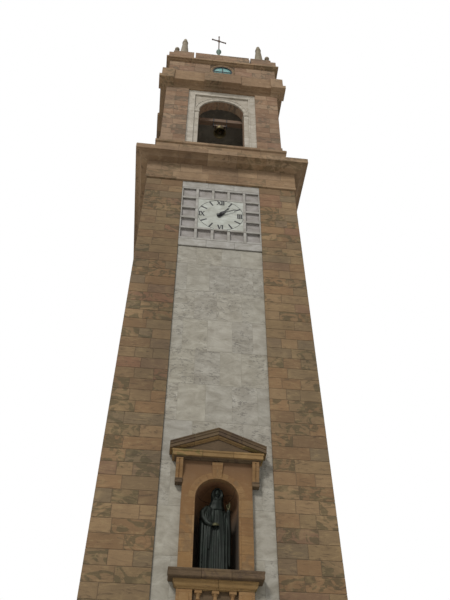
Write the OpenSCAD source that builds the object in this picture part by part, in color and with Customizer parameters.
// Square bell tower of sandstone and pale travertine: battered shaft with a statue niche and a clock,
// open belfry with one small bell, attic with round windows, corner pinnacles and a pyramid roof.
// Millimetres, +Z up, the front with niche and clock faces -Y, origin at the centre of the foot.

/* [Shaft] */
// Width of the shaft at ground level
shaft_w = 5652; // [5300:10:6200]
// Inward lean of each face for each metre of height
batter = 12.6; // [0:0.2:18]
// Height of the corner piers, from the ground to the frieze
shaft_h = 21450; // [17000:10:26000]
// Clear width of the room inside
room_w = 2660; // [2200:20:2900]
// Width of the light panel in each face
panel_w = 2660; // [2400:20:2900]
// Depth by which the light panels lie behind the corner piers
panel_recess = 50; // [20:5:120]
// Height of the plinth course
plinth_h = 1100; // [600:50:1600]
// Reach of the plinth beyond the shaft
plinth_out = 110; // [40:10:200]
// Height of the chamfer on the plinth
plinth_chamfer = 90; // [20:10:160]
// Thickness of the ground floor slab
floor_t = 200; // [120:10:300]

/* [Door] */
// Width of the doorway
door_w = 1300; // [1000:20:1500]
// Height of the doorway
door_h = 2500; // [2100:20:2800]
// Width of the stone surround on each side of the doorway
door_frame_w = 220; // [120:10:400]
// Reach of the door surround beyond the plinth
door_frame_out = 30; // [10:5:80]
// Depth of the door leaves behind the surround
door_set_back = 420; // [200:10:600]
// Thickness of the door leaves
door_t = 60; // [40:5:90]

/* [Niche] */
// Height of the niche floor above the ground
niche_z = 7700; // [7400:10:8200]
// Width of the niche
niche_w = 1000; // [900:10:1100]
// Height from the niche floor to the springing of its arch
niche_spring_h = 1680; // [1500:10:1800]
// Straight depth of the niche in front of its round back
niche_straight = 230; // [100:10:300]
// Width of the niche frame, over both jambs
niche_frame_w = 1600; // [1500:10:1900]
// Height of the niche frame up to the pediment
niche_frame_h = 2610; // [2450:10:2800]
// Reach of the niche frame beyond the light panel, at the sill
niche_frame_out = 120; // [60:5:200]
// Width of the keystone at its foot
keystone_w = 200; // [140:10:300]
// Reach of the keystone beyond the frame
keystone_out = 50; // [20:5:80]
// Widening of the keystone on each side, from its foot to its head
keystone_flare = 25; // [10:5:50]
// Height of the keystone's foot above the niche arch
keystone_joint = 5; // [2:1:20]
// Gap between the keystone's head and the pediment
keystone_gap = 30; // [10:5:80]
// Width of each console
console_w = 160; // [100:10:220]
// Height of each console
console_h = 590; // [400:10:700]
// Reach of each console beyond the niche frame, at its head
console_out = 110; // [60:10:180]
// Reach of each console beyond the niche frame, at its foot
console_foot_out = 30; // [15:5:50]
// Height of the block at the foot of each console
console_foot_h = 110; // [60:10:160]
// Height of the block at the head of each console
console_head_h = 90; // [50:10:140]

/* [Sill and apron] */
// Width of the sill slab
sill_w = 2000; // [1900:20:2400]
// Thickness of the sill slab
sill_t = 180; // [120:10:240]
// Reach of the sill slab beyond the niche frame
sill_out = 220; // [100:10:300]
// Height of the moulded bed under the sill slab
sill_bed_h = 170; // [100:10:240]
// Reach of the moulded bed beyond the niche frame
sill_bed_out = 90; // [40:10:150]
// Height of the apron under the sill
apron_h = 1000; // [700:20:1400]
// Width of each end block of the apron
apron_block_w = 320; // [200:10:420]
// Depth of the apron field behind its end blocks
apron_recess = 80; // [30:5:110]
// Height of the foot band of the apron
apron_band = 120; // [60:10:200]
// Distance between the half balusters in the apron field
baluster_pitch = 355; // [240:5:375]
// Width of a baluster over its foot and its head
baluster_w = 150; // [100:5:155]

/* [Pediment] */
// Width of the pediment over its tips
pediment_w = 2260; // [2100:20:2500]
// Height of the pediment
pediment_h = 800; // [600:10:1000]
// Height of the level cornice of the pediment
pediment_base_h = 190; // [120:10:260]
// Height of the pediment tips above the level cornice
pediment_eave_h = 170; // [120:10:220]
// Depth of the raking cornice, measured upright
raking_h = 240; // [220:10:320]
// Depth of the sunk field of the pediment
pediment_sink = 150; // [80:10:220]
// Step back of the level cornice behind the pediment tips
pediment_step = 60; // [30:5:90]
// Reach of the pediment beyond the niche frame
pediment_out = 240; // [120:10:320]

/* [Clock] */
// Distance of the dial centre below the frieze
clock_drop = 1690; // [1600:10:1900]
// Pitch of the square coffers around the dial
coffer_pitch = 530; // [460:5:540]
// Width of the ribs between the coffers
rib_w = 90; // [60:5:140]
// Depth of the coffers
coffer_d = 30; // [15:5:80]
// Joint between the dial slab and the ribs
dial_joint = 10; // [2:1:20]
// Reach of the dial slab beyond the light panel
dial_out = 25; // [15:5:60]
// Depth of the dial slab in the wall
dial_bed = 60; // [40:5:100]
// Radius of the clock spindle
spindle_r = 16; // [12:1:24]
// Radius of the hubs of the hands
hub_r = 45; // [36:1:60]
// Thickness of the hubs of the hands
hub_t = 30; // [20:2:40]
// Gap between dial, hubs and cap along the spindle
hub_gap = 8; // [6:1:14]
// Thickness of the hands
hand_t = 10; // [6:1:14]
// Length of the minute hand from its centre
minute_len = 590; // [480:10:640]
// Length of the hour hand from its centre
hour_len = 500; // [420:10:560]
// Width of the minute hand at its root
minute_w = 46; // [30:2:60]
// Width of the hour hand at the widest part of its leaf
hour_w = 160; // [110:5:180]
// Length of the tails of the hands
hand_tail = 150; // [80:10:220]
// Hour shown, from 0 to 11
shown_hour = 1; // [0:1:11]
// Minute shown, from 0 to 59
shown_minute = 10; // [0:1:59]

/* [Frieze and main cornice] */
// Height of the frieze
frieze_h = 930; // [700:10:1100]
// Reach of the frieze beyond the corner piers
frieze_out = 50; // [20:5:90]
// Height of the main cornice
cornice_h = 380; // [300:10:500]
// Half width of the main cornice
cornice_half = 3050; // [2950:10:3200]
// Height of the plain face of the main cornice
cornice_face = 240; // [160:10:280]
// Rise of the weathered top of the main cornice
cornice_rise = 90; // [40:10:140]

/* [Belfry] */
// Width of the belfry over its corner piers
belfry_w = 4600; // [4400:20:4700]
// Height of the base course under the belfry
belfry_base_h = 1340; // [1000:20:1600]
// Reach of the base course beyond the corner piers
belfry_base_out = 110; // [60:5:150]
// Height of the belfry corner piers
belfry_h = 4140; // [4000:20:4600]
// Width of each belfry corner pier
belfry_pier_w = 920; // [860:10:940]
// Height of the foot block of each belfry pier
pier_foot_h = 300; // [150:10:500]
// Reach of the foot block beyond its pier
pier_foot_out = 35; // [15:5:60]
// Width of the belfry arches
arch_w = 1830; // [1500:10:1900]
// Height from the base course to the springing of the arches
arch_spring_h = 2700; // [2300:20:2800]
// Thickness of the arch walls
arch_wall_t = 400; // [300:10:460]
// Depth of the arch walls behind the corner piers
arch_recess = 130; // [100:5:180]
// Depth of the light frames behind the corner piers
frame_recess = 80; // [40:5:90]
// Width of the band of the light frames
frame_band = 280; // [180:10:320]
// Height of the entablature and cornice of the belfry
entablature_h = 1140; // [800:20:1300]
// Half width of the belfry cornice between its breaks
belfry_cornice_half = 2575; // [2500:5:2640]
// Reach of the breaks over the piers and the arches
cornice_break = 70; // [30:5:100]
// Length of each break over a corner pier
corner_break_w = 610; // [400:10:760]
// Width of each break over an arch
centre_break_w = 1540; // [1200:20:1800]
// Thickness of the belfry floor and of its ceiling
belfry_slab_t = 250; // [150:10:350]

/* [Crown] */
// Half width of the attic
attic_half = 2300; // [2200:10:2400]
// Height of the attic below its cornice
attic_h = 1120; // [1000:20:1300]
// Thickness of the attic walls
attic_wall_t = 400; // [300:10:500]
// Diameter of the round windows of the attic
oculus_d = 860; // [600:10:900]
// Width of the raised ring round each window
oculus_ring_w = 100; // [60:5:130]
// Reach of the raised ring beyond the attic
oculus_ring_out = 30; // [20:5:70]
// Distance of the round panes behind the face of the attic
pane_set_back = 20; // [10:5:200]
// Thickness of the round panes
pane_t = 30; // [10:5:50]
// Half width of the attic cornice
attic_cornice_half = 2460; // [2400:10:2520]
// Height of the attic cornice
attic_cornice_h = 200; // [140:10:300]
// Height of the lower course of the parapet
blocking_h = 480; // [400:10:700]
// Half width of the lower course of the parapet
blocking_half = 2370; // [2300:10:2400]
// Height of the upper course of the parapet
parapet_h = 520; // [480:10:700]
// Half width of the upper course of the parapet
parapet_half = 2190; // [2120:10:2280]
// Thickness of the parapet between its pedestals
parapet_t = 300; // [200:10:360]
// Half width of the middle panel of each parapet
parapet_panel_half = 1200; // [1000:10:1240]
// Width of the slits beside the corner pedestals
slit_w = 80; // [50:5:110]
// Height of the stone left under the slits beside the corner pedestals
slit_sill_h = 60; // [40:10:500]
// Height of the corner pinnacles
pinnacle_h = 2120; // [1800:20:2600]
// Width of a pinnacle at its foot
pinnacle_w = 530; // [440:10:640]
// Height of the square foot block of each pinnacle
pinnacle_foot_h = 140; // [80:10:240]
// Width of a pinnacle under its rounded tip
pinnacle_top_w = 190; // [140:10:260]
// Radius of the corner balls
ball_r = 110; // [80:5:130]
// Height of the corner ball centres above their pedestals
ball_h = 380; // [300:10:700]
// Distance of the corner balls from the edges of their pedestals
ball_edge = 20; // [10:5:60]

/* [Roof and cross] */
// Height of the pyramid roof above the attic
roof_h = 5100; // [4600:50:5800]
// Width of the gutter between the parapet and the foot of the roof
gutter_w = 150; // [100:10:400]
// Thickness of the roof, measured level
roof_t = 260; // [180:10:360]
// Depth of solid roof left over its hollow, beyond its thickness
roof_cap = 300; // [200:10:500]
// Width of the pyramid roof under the finial
roof_top_w = 150; // [120:10:240]
// Height of the finial under the cross
finial_h = 1020; // [800:10:1200]
// Height of the neck under the lozenge of the finial
finial_neck_h = 400; // [200:10:500]
// Radius of the finial at its widest
finial_r = 135; // [110:5:180]
// Height of the cross above the finial
cross_h = 1460; // [1200:20:1700]
// Span of the arms of the cross
cross_span = 800; // [600:20:1000]
// Width of the bars of the cross
cross_bar = 52; // [40:2:80]
// Height of the arms above the foot of the cross
cross_arm_z = 920; // [700:10:1100]
// Turn of the cross about its post, seen from above
cross_turn = 11; // [-20:1:20]

/* [Bell] */
// Distance of the bell axis in front of the tower axis
bell_front = 1580; // [1500:10:1620]
// Height of the beam underside above the base course
beam_z = 2800; // [2500:10:3000]
// Width and depth of the square bell beam
beam_w = 220; // [160:10:260]
// Length of the beam let into each pier
beam_seat = 150; // [80:10:250]
// Distance of the bell pivot below the beam
pivot_drop = 200; // [190:5:260]
// Radius of the bell at its mouth
bell_r = 260; // [220:5:300]
// Height of the bell from its mouth to its shoulder
bell_h = 350; // [300:10:420]
// Wall of the bell at its waist
bell_wall = 16; // [12:1:24]
// Wall of the bell at its sound bow
bell_bow = 34; // [24:1:44]
// Half length of the headstock
headstock_half = 230; // [200:5:260]
// Half depth of the headstock
headstock_half_d = 70; // [50:5:80]
// Height of the headstock above its pivot
headstock_up = 60; // [40:5:80]
// Height of the headstock below its pivot
headstock_down = 80; // [60:5:100]
// Radius of the gudgeon pins
gudgeon_r = 20; // [14:1:28]
// Thickness of the hanger plates
hanger_t = 20; // [12:2:30]
// Gap between headstock and hanger plates
hanger_gap = 25; // [10:5:40]
// Half width of the hanger plates
hanger_half_w = 60; // [50:5:80]
// Radius of the clapper ball
clapper_r = 40; // [30:2:50]
// Length of the clapper from its pin to its ball centre
clapper_len = 290; // [240:5:310]
// Radius of the clapper rod
clapper_rod_r = 12; // [9:1:16]
// Distance of the clapper pin below the shoulder of the bell
clapper_drop = 45; // [40:1:60]
// Radius of the clapper pin
clapper_pin_r = 8; // [6:1:10]

/* [Statue] */
// Height of the statue with its base
statue_h = 2080; // [1800:10:2110]
// Width of the statue base
statue_base_w = 720; // [620:10:800]
// Depth of the statue base
statue_base_d = 450; // [400:10:460]
// Height of the statue base
statue_base_h = 70; // [40:5:100]
// Width of the robe and mantle at their hem
statue_hem_w = 680; // [560:10:760]
// Width of the statue over its shoulders
statue_shoulder_w = 400; // [340:10:460]
// Width of the hooded head
statue_hood_w = 280; // [220:5:300]
// Distance of the elbows from the middle of the statue
statue_elbow = 270; // [230:5:300]

/* [Hidden] */
$fn = 64;

// A length that passes right through the tower
far = 4000;
// Running clearance on the radius of a pin in its bore
run = 0.05;
// Overlap that makes a cut pass cleanly through a surface
cut = 10;
// Mortar gap behind what is fixed to the face of a wall
bed = 0.1;

// Levels, from the ground up
plinth_top = plinth_h;
sill_bottom = niche_z - sill_t - sill_bed_h;
apron_bottom = sill_bottom - apron_h;
niche_spring = niche_z + niche_spring_h;
niche_top = niche_z + niche_frame_h;
clock_z = shaft_h - clock_drop;
clock_panel_bottom = clock_z - clock_drop;
frieze_top = shaft_h + frieze_h;
cornice_top = frieze_top + cornice_h;
base_top = cornice_top + belfry_base_h;
piers_top = base_top + belfry_h;
arch_spring = base_top + arch_spring_h;
attic_bottom = piers_top + entablature_h;
attic_top = attic_bottom + attic_h;
attic_cornice_top = attic_top + attic_cornice_h;
blocking_top = attic_cornice_top + blocking_h;
parapet_top = blocking_top + parapet_h;
roof_bottom = attic_cornice_top;
roof_top = roof_bottom + roof_h;
cross_bottom = roof_top + finial_h;

// Half widths and faces
room = room_w / 2;
panel = panel_w / 2;
belfry_half = belfry_w / 2;
belfry_pier_in = belfry_half - belfry_pier_w;
arch_wall_in = belfry_half - arch_recess - arch_wall_t;
niche_r = niche_w / 2;
frame_face = panel_at(niche_z) + niche_frame_out;
dial_half = 1.5 * coffer_pitch - dial_joint;
dial_face = panel_at(clock_z) + dial_out;
hand_turn = shown_minute * 6;
hour_turn = (shown_hour + shown_minute / 60) * 30;
hour_hub = dial_face + hub_gap;
minute_hub = hour_hub + hub_t + hub_gap;
spindle_end = minute_hub + hub_t + hub_gap;
roof_half = parapet_half - parapet_t - gutter_w;
pedestal_in = parapet_panel_half + slit_w;
pedestal_mid = (pedestal_in + parapet_half) / 2;
ball_at = parapet_half - ball_r - ball_edge;
pivot_z = base_top + beam_z - pivot_drop;
bell_top = -headstock_down;
bell_cap_h = 0.16 * bell_r;
bell_mouth = bell_top - bell_cap_h - bell_h;
clapper_pin_z = bell_top - bell_cap_h - clapper_drop;

// Half width of the shaft over its corner piers at height z
function face_at(z) = shaft_w / 2 - batter * z / 1000;

// Half width of the shaft over its light panels at height z
function panel_at(z) = face_at(z) - panel_recess;

// Points on a quarter round from one corner to another, bulging or hollow
function quarter(x0, z0, x1, z1, hollow = false, steps = 5) = [
  for (i = [0 : steps])
    let (a = 90 * i / steps)
      hollow ? [x0 + (x1 - x0) * (1 - cos(a)), z0 + (z1 - z0) * sin(a)]
             : [x0 + (x1 - x0) * sin(a), z0 + (z1 - z0) * (1 - cos(a))]
];

// Solid of square plan whose half width follows the points [half width, z], lowest first
module square_turned(points) {
  count = len(points);
  outline = concat(points, [for (i = [count - 1 : -1 : 0]) [-points[i][0], points[i][1]]]);
  intersection() {
    rotate([90, 0, 0])
      linear_extrude(height = 2 * far, center = true) polygon(outline);
    rotate([90, 0, 90])
      linear_extrude(height = 2 * far, center = true) polygon(outline);
  }
}

// Box between two corners
module box(low, high) {
  translate(low)
    cube(high - low);
}

// Square ring between two half widths
module square_ring(inner, outer, z0, z1) {
  difference() {
    box([-outer, -outer, z0], [outer, outer, z1]);
    box([-inner, -inner, z0 - cut], [inner, inner, z1 + cut]);
  }
}

// Mass of the shaft with its battered faces, moved in or out
module battered(out, z0, z1) {
  square_turned([[face_at(z0) + out, z0], [face_at(z1) + out, z1]]);
}

// Mass of the light panels, as a cutter for what is fixed to their face
module panel_seat(z0, z1) {
  battered(bed - panel_recess, z0 - cut, z1 + cut);
}

// Clear space of the room inside the shaft
module room_space(z0, z1) {
  box([-room, -room, z0], [room, room, z1]);
}

// Upright slab of the front light panel between two heights
module panel_wall(z0, z1, x0 = -panel, x1 = panel) {
  intersection() {
    battered(-panel_recess, z0, z1);
    box([x0, -far, z0 - cut], [x1, -room, z1 + cut]);
  }
}

// Arched opening along Y, centred on the axis, between two depths
module arch_space(r, z0, spring, y0, y1) {
  box([-r, y0, z0], [r, y1, spring]);
  translate([0, y1, spring])
    rotate([90, 0, 0]) cylinder(r = r, h = y1 - y0);
}

// The same shape at all four corners
module at_corners() {
  for (a = [0, 90, 180, 270])
    rotate([0, 0, a]) children();
}

// Doorway through plinth and panel
module doorway() {
  box([-door_w / 2, -far, floor_t], [door_w / 2, -room + cut, door_h]);
}

// Seat of the door surround in plinth and panel
module door_frame_seat() {
  box([-door_w / 2 - door_frame_w, -far, floor_t],
      [door_w / 2 + door_frame_w, -face_at(0) + door_set_back, door_h + door_frame_w]);
}

module plinth() {
  outer = face_at(0) + plinth_out;
  color("#9a8266")
    difference() {
      square_turned([[outer, 0], [outer, plinth_top - plinth_chamfer], [face_at(plinth_top), plinth_top]]);
      box([-room, -room, -cut], [room, room, plinth_top + cut]);
      doorway();
      door_frame_seat();
    }
}

module floors() {
  color("#8d8577") {
    box([-room, -room, 0], [room, room, floor_t]);
    box([-room, -room, cornice_top - belfry_slab_t], [room, room, cornice_top]);
    box([-arch_wall_in, -arch_wall_in, attic_bottom - belfry_slab_t],
        [arch_wall_in, arch_wall_in, attic_bottom]);
  }
}

// Battered corner pier, drawn at the front right corner
module corner_pier() {
  color("#a38768")
    difference() {
      intersection() {
        battered(0, plinth_top, shaft_h);
        box([panel, -far, plinth_top - cut], [far, -panel, shaft_h + cut]);
      }
      room_space(plinth_top - cut, shaft_h + cut);
    }
}

module corner_pier_front_right() { corner_pier(); }

module corner_pier_front_left() { rotate([0, 0, -90]) corner_pier(); }

module corner_pier_back_left() { rotate([0, 0, 180]) corner_pier(); }

module corner_pier_back_right() { rotate([0, 0, 90]) corner_pier(); }

// Front panel from the plinth to the niche, cut for door and apron
module front_panel_lower() {
  color("#c9c2b4")
    difference() {
      panel_wall(plinth_top, niche_z);
      doorway();
      door_frame_seat();
    }
}

module front_panel_beside_niche() {
  color("#c9c2b4")
    for (side = [0, 1])
      mirror([side, 0, 0]) panel_wall(niche_z, niche_top, niche_frame_w / 2, panel);
}

module front_panel_upper() {
  color("#c9c2b4") panel_wall(niche_top, clock_panel_bottom);
}

// Wall behind the clock, with a ring of square coffers and a pocket for the dial
module clock_panel() {
  low = -2.5 * coffer_pitch + rib_w / 2;
  side = coffer_pitch - rib_w;
  color("#bdb5a8")
    difference() {
      panel_wall(clock_panel_bottom, shaft_h);
      for (i = [0 : 4])
        for (j = [0 : 4])
          if (i == 0 || i == 4 || j == 0 || j == 4)
            translate([low + i * coffer_pitch, -far, clock_z + low + j * coffer_pitch])
              cube([side, far - panel_at(clock_z) + coffer_d, side]);
      box([-dial_half, -far, clock_z - dial_half],
          [dial_half, -dial_face + dial_out + dial_bed, clock_z + dial_half]);
    }
}

module side_panel() {
  color("#c9c2b4") panel_wall(plinth_top, shaft_h);
}

module right_panel() { rotate([0, 0, 90]) side_panel(); }

module back_panel() { rotate([0, 0, 180]) side_panel(); }

module left_panel() { rotate([0, 0, -90]) side_panel(); }

module door_frame() {
  face = face_at(0) + plinth_out + door_frame_out;
  back = face_at(0) - door_set_back;
  half = door_w / 2;
  color("#a88d6c")
    difference() {
      box([-half - door_frame_w, -face, floor_t], [half + door_frame_w, -back, door_h + door_frame_w]);
      box([-half, -far, floor_t - cut], [half, 0, door_h]);
    }
}

module door() {
  back = face_at(0) - door_set_back;
  color("#5d4632")
    for (side = [0, 1])
      mirror([side, 0, 0]) box([2, -back - door_t, floor_t], [door_w / 2, -back, door_h]);
}

// Apron under the sill: two end blocks, a recessed field and a foot band
module apron() {
  face = frame_face;
  half = niche_frame_w / 2;
  color("#a88d6c")
    difference() {
      box([-half, -face, apron_bottom], [half, 0, sill_bottom]);
      panel_seat(apron_bottom, sill_bottom);
      box([-half + apron_block_w, -far, apron_bottom + apron_band],
          [half - apron_block_w, -face + apron_recess, sill_bottom + cut]);
    }
}

// Three half balusters that stand on the foot band of the apron, against its field
module balusters() {
  back = frame_face - apron_recess + bed;
  low = apron_bottom + apron_band;
  tall = sill_bottom - low;
  r = baluster_w / 2;
  block = 0.08 * tall;
  color("#b59a76")
    for (x = [-baluster_pitch, 0, baluster_pitch])
      translate([x, -back, low])
        difference() {
          union() {
            for (z = [0, tall - block])
              translate([-r, -r, z]) cube([baluster_w, r, block]);
            rotate_extrude()
              polygon([[0, 0], [r * 0.6, 0], [r * 0.6, 0.12 * tall], [r * 0.9, 0.3 * tall],
                       [r * 0.85, 0.42 * tall], [r * 0.4, 0.68 * tall], [r * 0.45, 0.8 * tall],
                       [r * 0.75, 0.86 * tall], [r * 0.75, tall], [0, tall]]);
          }
          translate([-baluster_w, 0, -cut]) cube([2 * baluster_w, 2 * r, tall + 2 * cut]);
        }
}

module sill() {
  slab_face = frame_face + sill_out;
  bed_face = frame_face + sill_bed_out;
  bed_half = sill_w / 2 - sill_out + sill_bed_out;
  bed_top = niche_z - sill_t;
  fillet = 20;
  color("#8f7456")
    difference() {
      union() {
        box([-sill_w / 2, -slab_face, bed_top], [sill_w / 2, 0, niche_z]);
        intersection() {
          square_turned(concat([[frame_face + fillet, sill_bottom]],
            quarter(frame_face + 1.5 * fillet, sill_bottom + fillet, bed_face, bed_top - 2 * fillet),
            [[bed_face, bed_top + 1]]));
          box([-bed_half, -far, sill_bottom], [bed_half, 0, bed_top + 1]);
        }
      }
      panel_seat(sill_bottom, niche_z);
    }
}

// Hollow of the niche: straight in front, half round behind, half dome on top
module niche_space() {
  centre = panel_at(niche_z) - niche_straight;
  arch_space(niche_r, niche_z, niche_spring, -far, -centre);
  translate([0, -centre, niche_z])
    cylinder(r = niche_r, h = niche_spring_h);
  translate([0, -centre, niche_spring])
    sphere(r = niche_r);
}

module niche() {
  half = niche_frame_w / 2;
  color("#97805f")
    difference() {
      panel_wall(niche_z, niche_top, -half, half);
      niche_space();
    }
}

module niche_frame() {
  half = niche_frame_w / 2;
  color("#a88d6c")
    difference() {
      box([-half, -frame_face, niche_z], [half, 0, niche_top]);
      panel_seat(niche_z, niche_top);
      arch_space(niche_r, niche_z - cut, niche_spring, -far, 0);
    }
}

module keystone() {
  low = niche_spring + niche_r + keystone_joint;
  high = niche_top - keystone_gap;
  foot = keystone_w / 2;
  head = foot + keystone_flare;
  color("#b0946c")
    translate([0, -frame_face, 0])
      rotate([90, 0, 0])
        linear_extrude(height = keystone_out)
          polygon([[-foot, low], [foot, low], [head, high], [-head, high]]);
}

// Scrolled consoles that carry the ends of the pediment
module consoles() {
  half = niche_frame_w / 2;
  low = niche_top - console_h;
  deep = frame_face + console_out;
  foot = frame_face + console_foot_out;
  neck = foot - 20;
  color("#a08561")
    for (side = [0, 1])
      mirror([side, 0, 0])
        difference() {
          translate([half, 0, 0])
            rotate([90, 0, 90])
              linear_extrude(height = console_w)
                polygon(concat([[0, low], [-foot, low], [-foot, low + console_foot_h]],
                               quarter(-neck, low + console_foot_h + cut, -deep,
                                       niche_top - console_head_h, true),
                               [[-deep, niche_top], [0, niche_top]]));
          panel_seat(low, niche_top);
        }
}

// Triangular pediment with a level cornice, raking cornices and a sunk field
module pediment() {
  half = pediment_w / 2;
  apex = niche_top + pediment_h;
  field_low = niche_top + pediment_base_h;
  eave = field_low + pediment_eave_h;
  face = frame_face + pediment_out;
  slope = (apex - eave) / half;
  field_half = half - (raking_h - pediment_eave_h) / slope;
  lip = 40;
  foot_half = half - 2 * pediment_step;
  color("#8a6f52")
    difference() {
      union() {
        rotate([90, 0, 0])
          linear_extrude(height = face)
            polygon([[-half, field_low - lip], [half, field_low - lip], [half, eave], [0, apex],
                     [-half, eave]]);
        rotate([90, 0, 0])
          linear_extrude(height = face - pediment_step)
            polygon([[-foot_half, niche_top], [foot_half, niche_top],
                     [half - pediment_step, field_low], [-half + pediment_step, field_low]]);
      }
      translate([0, -face + pediment_sink, 0])
        rotate([90, 0, 0])
          linear_extrude(height = far)
            polygon([[-field_half, field_low], [field_half, field_low],
                     [0, field_low + field_half * slope]]);
      panel_seat(niche_top, apex);
    }
}

// Ellipse-like disc of the robe at a height, as a short cylinder squeezed front to back
module robe_ring(w, d, z) {
  translate([0, 0, z])
    scale([w / d, 1, 1]) cylinder(r = d / 2, h = 4, $fn = 24);
}

// Limb between two points, as a ball at each end
module limb(start, start_r, end, end_r) {
  hull() {
    translate(start) sphere(r = start_r, $fn = 16);
    translate(end) sphere(r = end_r, $fn = 16);
  }
}

// Robed standing figure in a hooded mantle, one hand at the waist, the other raised
module statue() {
  h = statue_h - statue_base_h;
  y = -panel_at(niche_z) + niche_straight;
  z = niche_z + statue_base_h;
  half = statue_base_w / 2;
  shoulder = statue_shoulder_w / 2 - 55;
  hood_r = statue_hood_w / 2;
  head_x = 30;
  color("#3c3f38")
    union() {
      box([-half, y - statue_base_d / 2, niche_z], [half, y + statue_base_d / 2, z]);
      translate([0, y, z]) {
        hull() {
          robe_ring(statue_hem_w, 0.55 * statue_hem_w, -4);
          robe_ring(0.95 * statue_hem_w, 0.52 * statue_hem_w, 0.3 * h);
          robe_ring(0.85 * statue_hem_w, 0.45 * statue_hem_w, 0.58 * h);
        }
        hull() {
          robe_ring(0.85 * statue_hem_w, 0.45 * statue_hem_w, 0.58 * h);
          robe_ring(1.15 * statue_shoulder_w, 0.6 * statue_shoulder_w, 0.76 * h);
          robe_ring(0.62 * statue_shoulder_w, 0.5 * statue_shoulder_w, 0.835 * h);
        }
        hull() {
          translate([head_x / 2, -20, 0.82 * h]) sphere(r = 0.9 * hood_r, $fn = 24);
          translate([head_x, -70, 0.9 * h]) sphere(r = hood_r, $fn = 24);
          translate([head_x, -70, 0.965 * h]) sphere(r = 0.035 * h, $fn = 24);
        }
        limb([-shoulder, 0, 0.76 * h], 75, [-statue_elbow, -40, 0.58 * h], 65);
        limb([-statue_elbow, -40, 0.58 * h], 65, [-90, -210, 0.53 * h], 42);
        limb([shoulder, 0, 0.76 * h], 75, [statue_elbow, -100, 0.61 * h], 60);
        limb([statue_elbow, -100, 0.61 * h], 60, [statue_elbow + 20, -200, 0.78 * h], 42);
      }
    }
}

module clock_dial() {
  back = dial_face - dial_out - dial_bed;
  color("#d8d6cd")
    difference() {
      box([-dial_half, -dial_face, clock_z - dial_half], [dial_half, -back, clock_z + dial_half]);
      translate([0, 0, clock_z])
        rotate([90, 0, 0]) cylinder(r = spindle_r, h = far);
    }
}

module clock_spindle() {
  back = dial_face - dial_out - dial_bed;
  color("#2c2c2e")
    translate([0, 0, clock_z])
      rotate([90, 0, 0]) {
        translate([0, 0, back]) cylinder(r = spindle_r, h = spindle_end - back);
        translate([0, 0, spindle_end]) cylinder(r = spindle_r + 12, h = 12);
      }
}

// Hand with a round hub, turned clockwise from twelve, with its outline on the right from tail to tip
module clock_hand(outline, turn, hub_at) {
  count = len(outline);
  mirrored = [for (i = [count - 1 : -1 : 0]) [-outline[i][0], outline[i][1]]];
  color("#1d1d1f")
    translate([0, -hub_at, clock_z])
      rotate([0, turn, 0])
        rotate([90, 0, 0])
          difference() {
            union() {
              cylinder(r = hub_r, h = hub_t);
              translate([0, 0, (hub_t - hand_t) / 2])
                linear_extrude(height = hand_t) polygon(concat(outline, mirrored));
            }
            translate([0, 0, -cut]) cylinder(r = spindle_r + run, h = hub_t + 2 * cut);
          }
}

// Short hand with a broad leaf and a thin tip
module hour_hand() {
  w = hour_w / 2;
  clock_hand([[0.5 * w, -hand_tail], [0.9 * w, -0.75 * hand_tail], [0.85 * w, 0],
              [w, 0.16 * hour_len], [0.6 * w, 0.34 * hour_len], [0.18 * w, 0.48 * hour_len],
              [0.14 * w, 0.85 * hour_len], [0.04 * w, hour_len]],
             hour_turn, hour_hub);
}

// Long slim hand
module minute_hand() {
  w = minute_w / 2;
  clock_hand([[0.7 * w, -hand_tail], [w, 0], [0.75 * w, 0.82 * minute_len], [0.1 * w, minute_len]],
             hand_turn, minute_hub);
}

module frieze() {
  half = face_at(shaft_h) + frieze_out;
  color("#9c8263") square_ring(room, half, shaft_h, frieze_top);
}

// Main cornice: flat soffit, hollow bed, plain face and weathered top
module main_cornice() {
  half = face_at(shaft_h) + frieze_out;
  bed = cornice_half - 210;
  lip = cornice_half - 55;
  face_low = cornice_top - cornice_face;
  color("#a88c6d")
    difference() {
      square_turned(concat(
        [[half + 10, frieze_top], [bed, frieze_top + 10]],
        quarter(bed, frieze_top + 20, lip, face_low - 20, true),
        [[lip, face_low], [cornice_half, face_low + 1], [cornice_half, cornice_top],
         [belfry_half + belfry_base_out, cornice_top + cornice_rise]]));
      room_space(frieze_top - cut, cornice_top + cornice_rise + cut);
      box([-belfry_half - belfry_base_out, -belfry_half - belfry_base_out, cornice_top],
          [belfry_half + belfry_base_out, belfry_half + belfry_base_out, cornice_top + far]);
    }
}

module belfry_base() {
  half = belfry_half + belfry_base_out;
  color("#a38768")
    difference() {
      square_turned([[half, cornice_top], [half, base_top - 200], [half + 50, base_top - 150],
                     [half + 50, base_top - 40], [half + 10, base_top]]);
      box([-arch_wall_in, -arch_wall_in, cornice_top - cut], [arch_wall_in, arch_wall_in, base_top + cut]);
    }
}

// Corner piers of the belfry with foot blocks, cut for the ends of the bell beam
module belfry_piers() {
  foot = belfry_half + pier_foot_out;
  color("#a18365")
    difference() {
      at_corners() {
        box([belfry_pier_in, -belfry_half, base_top], [belfry_half, -belfry_pier_in, piers_top]);
        box([belfry_pier_in, -foot, base_top], [foot, -belfry_pier_in, base_top + pier_foot_h]);
      }
      beam_bar();
    }
}

// Arch wall of the front, filling the space between the piers behind the frame
module arch_wall() {
  face = belfry_half - arch_recess;
  color("#cfc9bd")
    difference() {
      box([-belfry_pier_in, -face, base_top], [belfry_pier_in, -arch_wall_in, piers_top]);
      arch_space(arch_w / 2, base_top - cut, arch_spring, -far, 0);
    }
}

module arch_wall_front() { arch_wall(); }

module arch_wall_right() { rotate([0, 0, 90]) arch_wall(); }

module arch_wall_back() { rotate([0, 0, 180]) arch_wall(); }

module arch_wall_left() { rotate([0, 0, -90]) arch_wall(); }

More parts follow.
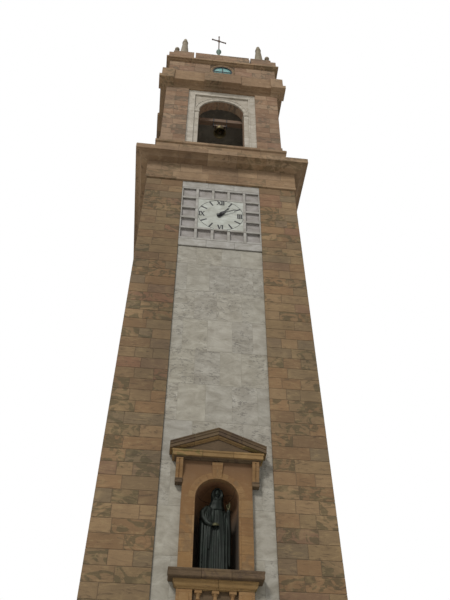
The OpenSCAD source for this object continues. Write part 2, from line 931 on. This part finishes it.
// Light band round three sides of each arch wall
module arch_frames() {
  face = belfry_half - frame_recess;
  back = belfry_half - arch_recess;
  inner = belfry_pier_in - frame_band;
  color("#d6d1c6")
    at_corners()
      difference() {
        box([-belfry_pier_in, -face, base_top], [belfry_pier_in, -back, piers_top]);
        box([-inner, -far, base_top - cut], [inner, 0, piers_top - frame_band]);
      }
}

// Section of the belfry entablature, moved out by a reach
function belfry_cornice_section(out) = [
  [belfry_half + out * 0.3, piers_top],
  [belfry_half + 30 + out * 0.3, piers_top + 150],
  [belfry_cornice_half - 150 + out, piers_top + 210],
  [belfry_cornice_half + out, piers_top + 230],
  [belfry_cornice_half + out, piers_top + 420],
  [belfry_cornice_half - 90 + out, piers_top + 470],
  [belfry_cornice_half - 90 + out, attic_bottom - 40],
  [attic_half + 60 + out, attic_bottom]
];

// Entablature and cornice of the belfry, breaking forward over piers and arches
module belfry_cornice() {
  reach = belfry_cornice_half + cornice_break;
  inner = reach - corner_break_w;
  color("#9a7d60")
    difference() {
      union() {
        square_turned(belfry_cornice_section(0));
        intersection() {
          square_turned(belfry_cornice_section(cornice_break));
          at_corners() {
            box([inner, -far, piers_top], [far, -inner, attic_bottom]);
            box([-centre_break_w / 2, -far, piers_top], [centre_break_w / 2, 0, attic_bottom]);
          }
        }
      }
      box([-arch_wall_in, -arch_wall_in, piers_top - cut], [arch_wall_in, arch_wall_in, attic_bottom + cut]);
    }
}

// Attic walls with a round window in each face, under the attic cornice
module attic() {
  inner = attic_half - attic_wall_t;
  centre = (attic_bottom + attic_top) / 2;
  bed = attic_cornice_half - 60;
  color("#957a5e")
    difference() {
      union() {
        box([-attic_half, -attic_half, attic_bottom], [attic_half, attic_half, attic_top]);
        square_turned([[attic_half, attic_top - 1], [bed, attic_top + 60], [bed, attic_top + 70],
                       [attic_cornice_half, attic_top + 71], [attic_cornice_half, attic_cornice_top - 30],
                       [attic_cornice_half - 30, attic_cornice_top]]);
        at_corners()
          translate([0, -attic_half + cut, centre])
            rotate([90, 0, 0]) cylinder(r = oculus_d / 2 + oculus_ring_w, h = oculus_ring_out + cut);
      }
      box([-inner, -inner, attic_bottom - cut], [inner, inner, attic_top]);
      at_corners()
        translate([0, -inner + cut, centre])
          rotate([90, 0, 0]) cylinder(r = oculus_d / 2, h = far);
    }
}

// Panes of the round windows, set back behind the faces of the attic
module attic_windows() {
  centre = (attic_bottom + attic_top) / 2;
  color("#6f8c8a")
    at_corners()
      translate([0, -attic_half + pane_set_back + pane_t, centre])
        rotate([90, 0, 0]) cylinder(r = oculus_d / 2, h = pane_t);
}

// Parapet: lower course all round, middle panels, slits and corner pedestals
module parapet() {
  inner = parapet_half - parapet_t;
  color("#95795b")
    difference() {
      union() {
        box([-blocking_half, -blocking_half, attic_cornice_top],
            [blocking_half, blocking_half, blocking_top]);
        box([-parapet_half, -parapet_half, blocking_top - 1], [parapet_half, parapet_half, parapet_top]);
      }
      difference() {
        box([-inner, -inner, attic_cornice_top - cut], [inner, inner, parapet_top + cut]);
        at_corners()
          box([pedestal_in, -far, attic_cornice_top - far], [far, -pedestal_in, parapet_top + far]);
      }
      at_corners()
        for (side = [0, 1])
          mirror([side, 0, 0])
            box([parapet_panel_half, -far, attic_cornice_top + slit_sill_h], [pedestal_in, 0, parapet_top + cut]);
    }
}

// Tapering round pinnacle with a rounded tip on each pedestal, and a ball at its outer corner
module pinnacles() {
  tip_r = pinnacle_top_w / 2;
  needle_h = pinnacle_h - tip_r - pinnacle_foot_h;
  color("#a09078")
    at_corners() {
      translate([pedestal_mid, -pedestal_mid, parapet_top]) {
        translate([-pinnacle_w / 2, -pinnacle_w / 2, 0]) cube([pinnacle_w, pinnacle_w, pinnacle_foot_h]);
        translate([0, 0, pinnacle_foot_h]) cylinder(r1 = pinnacle_w * 0.47, r2 = tip_r, h = needle_h);
        translate([0, 0, pinnacle_h - tip_r]) sphere(r = tip_r);
      }
      translate([ball_at, -ball_at, parapet_top]) {
        cylinder(r = ball_r * 0.8, h = 60);
        cylinder(r1 = ball_r * 0.7, r2 = ball_r * 0.35, h = ball_h - ball_r * 0.8);
        translate([0, 0, ball_h]) sphere(r = ball_r);
      }
    }
}

// Hollow pyramid roof, cut round the corner pedestals and the feet of their pinnacles
module roof() {
  eave = 100;
  hollow_half = roof_half - roof_t;
  hollow_top = roof_top - roof_t * roof_h / roof_half - roof_cap;
  color("#8c7a66")
    difference() {
      square_turned([[roof_half, roof_bottom], [roof_half, roof_bottom + eave], [roof_top_w / 2, roof_top]]);
      square_turned([[hollow_half, roof_bottom - cut], [hollow_half, roof_bottom + eave],
                     [roof_top_w / 2, hollow_top]]);
      at_corners()
        box([pedestal_in - bed, -far, roof_bottom - cut],
            [far, -pedestal_in + bed, parapet_top + pinnacle_foot_h + cut]);
    }
}

// Finial with a lozenge body and the cross on its post
module cross() {
  neck = finial_r * 0.35;
  color("#5f6a60")
    translate([0, 0, roof_top]) {
      rotate_extrude()
        polygon([[0, 0], [roof_top_w / 2, 0], [roof_top_w / 2, 40], [neck, 110], [neck, finial_neck_h],
                 [finial_r, (finial_neck_h + finial_h) / 2], [neck, finial_h - 30],
                 [cross_bar / 2 - 1, finial_h], [0, finial_h]]);
    }
  color("#5a4a40")
    translate([0, 0, cross_bottom - 1])
      rotate([0, 0, cross_turn]) {
        translate([-cross_bar / 2, -cross_bar / 2, 0]) cube([cross_bar, cross_bar, cross_h + 1]);
        translate([-cross_span / 2, -cross_bar / 2, cross_arm_z - cross_bar / 2])
          cube([cross_span, cross_bar, cross_bar]);
      }
}

// Bar of the bell beam, from seat to seat in the front piers
module beam_bar() {
  half = belfry_pier_in + beam_seat;
  translate([-half, -bell_front - beam_w / 2, base_top + beam_z])
    cube([2 * half, beam_w, beam_w]);
}

module bell_beam() {
  color("#6b4e37") beam_bar();
}

// Iron plates under the beam with the bearings of the headstock
module bell_hangers() {
  inner = headstock_half + hanger_gap;
  low = -hanger_half_w;
  color("#3a3a3c")
    translate([0, -bell_front, pivot_z])
      for (side = [0, 1])
        mirror([side, 0, 0])
          difference() {
            box([inner, -hanger_half_w, low], [inner + hanger_t, hanger_half_w, pivot_drop]);
            translate([inner - cut, 0, 0])
              rotate([0, 90, 0]) cylinder(r = gudgeon_r + run, h = hanger_t + 2 * cut);
          }
}

module headstock() {
  reach = headstock_half + hanger_gap + hanger_t + 15;
  color("#5b4330")
    translate([0, -bell_front, pivot_z]) {
      box([-headstock_half, -headstock_half_d, -headstock_down],
          [headstock_half, headstock_half_d, headstock_up]);
      for (side = [0, 1])
        mirror([side, 0, 0])
          translate([headstock_half - 1, 0, 0])
            rotate([0, 90, 0]) cylinder(r = gudgeon_r, h = reach - headstock_half + 1);
    }
}

// Outer radius of the bell at a share of its height above the mouth
function bell_radius(t) = bell_r * (0.56 + 0.44 * pow(1 - t, 2.4));

// Wall of the bell at a share of its height above the mouth
function bell_wall_at(t) = bell_wall + (bell_bow - bell_wall) * pow(1 - t, 3);

// Round body of the bell, hollow below
module bell_body() {
  steps = 10;
  shoulder = bell_mouth + bell_h;
  cap_r = bell_radius(1);
  outer = [for (i = [0 : steps]) [bell_radius(i / steps), bell_mouth + bell_h * i / steps]];
  inner = [for (i = [steps : -1 : 0])
    [bell_radius(i / steps) - bell_wall_at(i / steps), bell_mouth + (bell_h - bell_wall) * i / steps]];
  rotate_extrude()
    polygon(concat(outer, [[cap_r * 0.8, shoulder + bell_cap_h * 0.6], [cap_r * 0.5, bell_top], [0, bell_top],
                           [0, shoulder - bell_wall]], inner));
}

module bell() {
  lug_gap = 16;
  lug_t = 10;
  lug_w = 22;
  color("#6d6248")
    translate([0, -bell_front, pivot_z]) {
      bell_body();
      for (side = [0, 1])
        mirror([side, 0, 0])
          box([lug_gap, -lug_w, clapper_pin_z - lug_w], [lug_gap + lug_t, lug_w, bell_top - bell_cap_h]);
      translate([-lug_gap - 1, 0, clapper_pin_z])
        rotate([0, 90, 0]) cylinder(r = clapper_pin_r, h = 2 * lug_gap + 2);
    }
}

module clapper() {
  eye_half = 9;
  eye_r = clapper_pin_r + 10;
  color("#3f3c38")
    translate([0, -bell_front, pivot_z + clapper_pin_z])
      difference() {
        union() {
          translate([-eye_half, 0, 0]) rotate([0, 90, 0]) cylinder(r = eye_r, h = 2 * eye_half);
          translate([0, 0, -clapper_len]) cylinder(r = clapper_rod_r * 0.75, h = clapper_len - eye_r + 4);
          translate([0, 0, -clapper_len]) sphere(r = clapper_r);
          translate([0, 0, -clapper_len - clapper_r - 30]) cylinder(r = clapper_rod_r, h = 40);
        }
        translate([-eye_half - cut, 0, 0])
          rotate([0, 90, 0]) cylinder(r = clapper_pin_r + run, h = 2 * (eye_half + cut));
      }
}

plinth();
floors();
corner_pier_front_left();
corner_pier_front_right();
corner_pier_back_left();
corner_pier_back_right();
front_panel_lower();
front_panel_beside_niche();
front_panel_upper();
clock_panel();
left_panel();
right_panel();
back_panel();
door_frame();
door();
apron();
balusters();
sill();
niche();
niche_frame();
keystone();
consoles();
pediment();
statue();
clock_dial();
clock_spindle();
hour_hand();
minute_hand();
frieze();
main_cornice();
belfry_base();
belfry_piers();
arch_wall_front();
arch_wall_back();
arch_wall_left();
arch_wall_right();
arch_frames();
belfry_cornice();
attic();
attic_windows();
parapet();
pinnacles();
roof();
cross();
bell_beam();
bell_hangers();
headstock();
bell();
clapper();
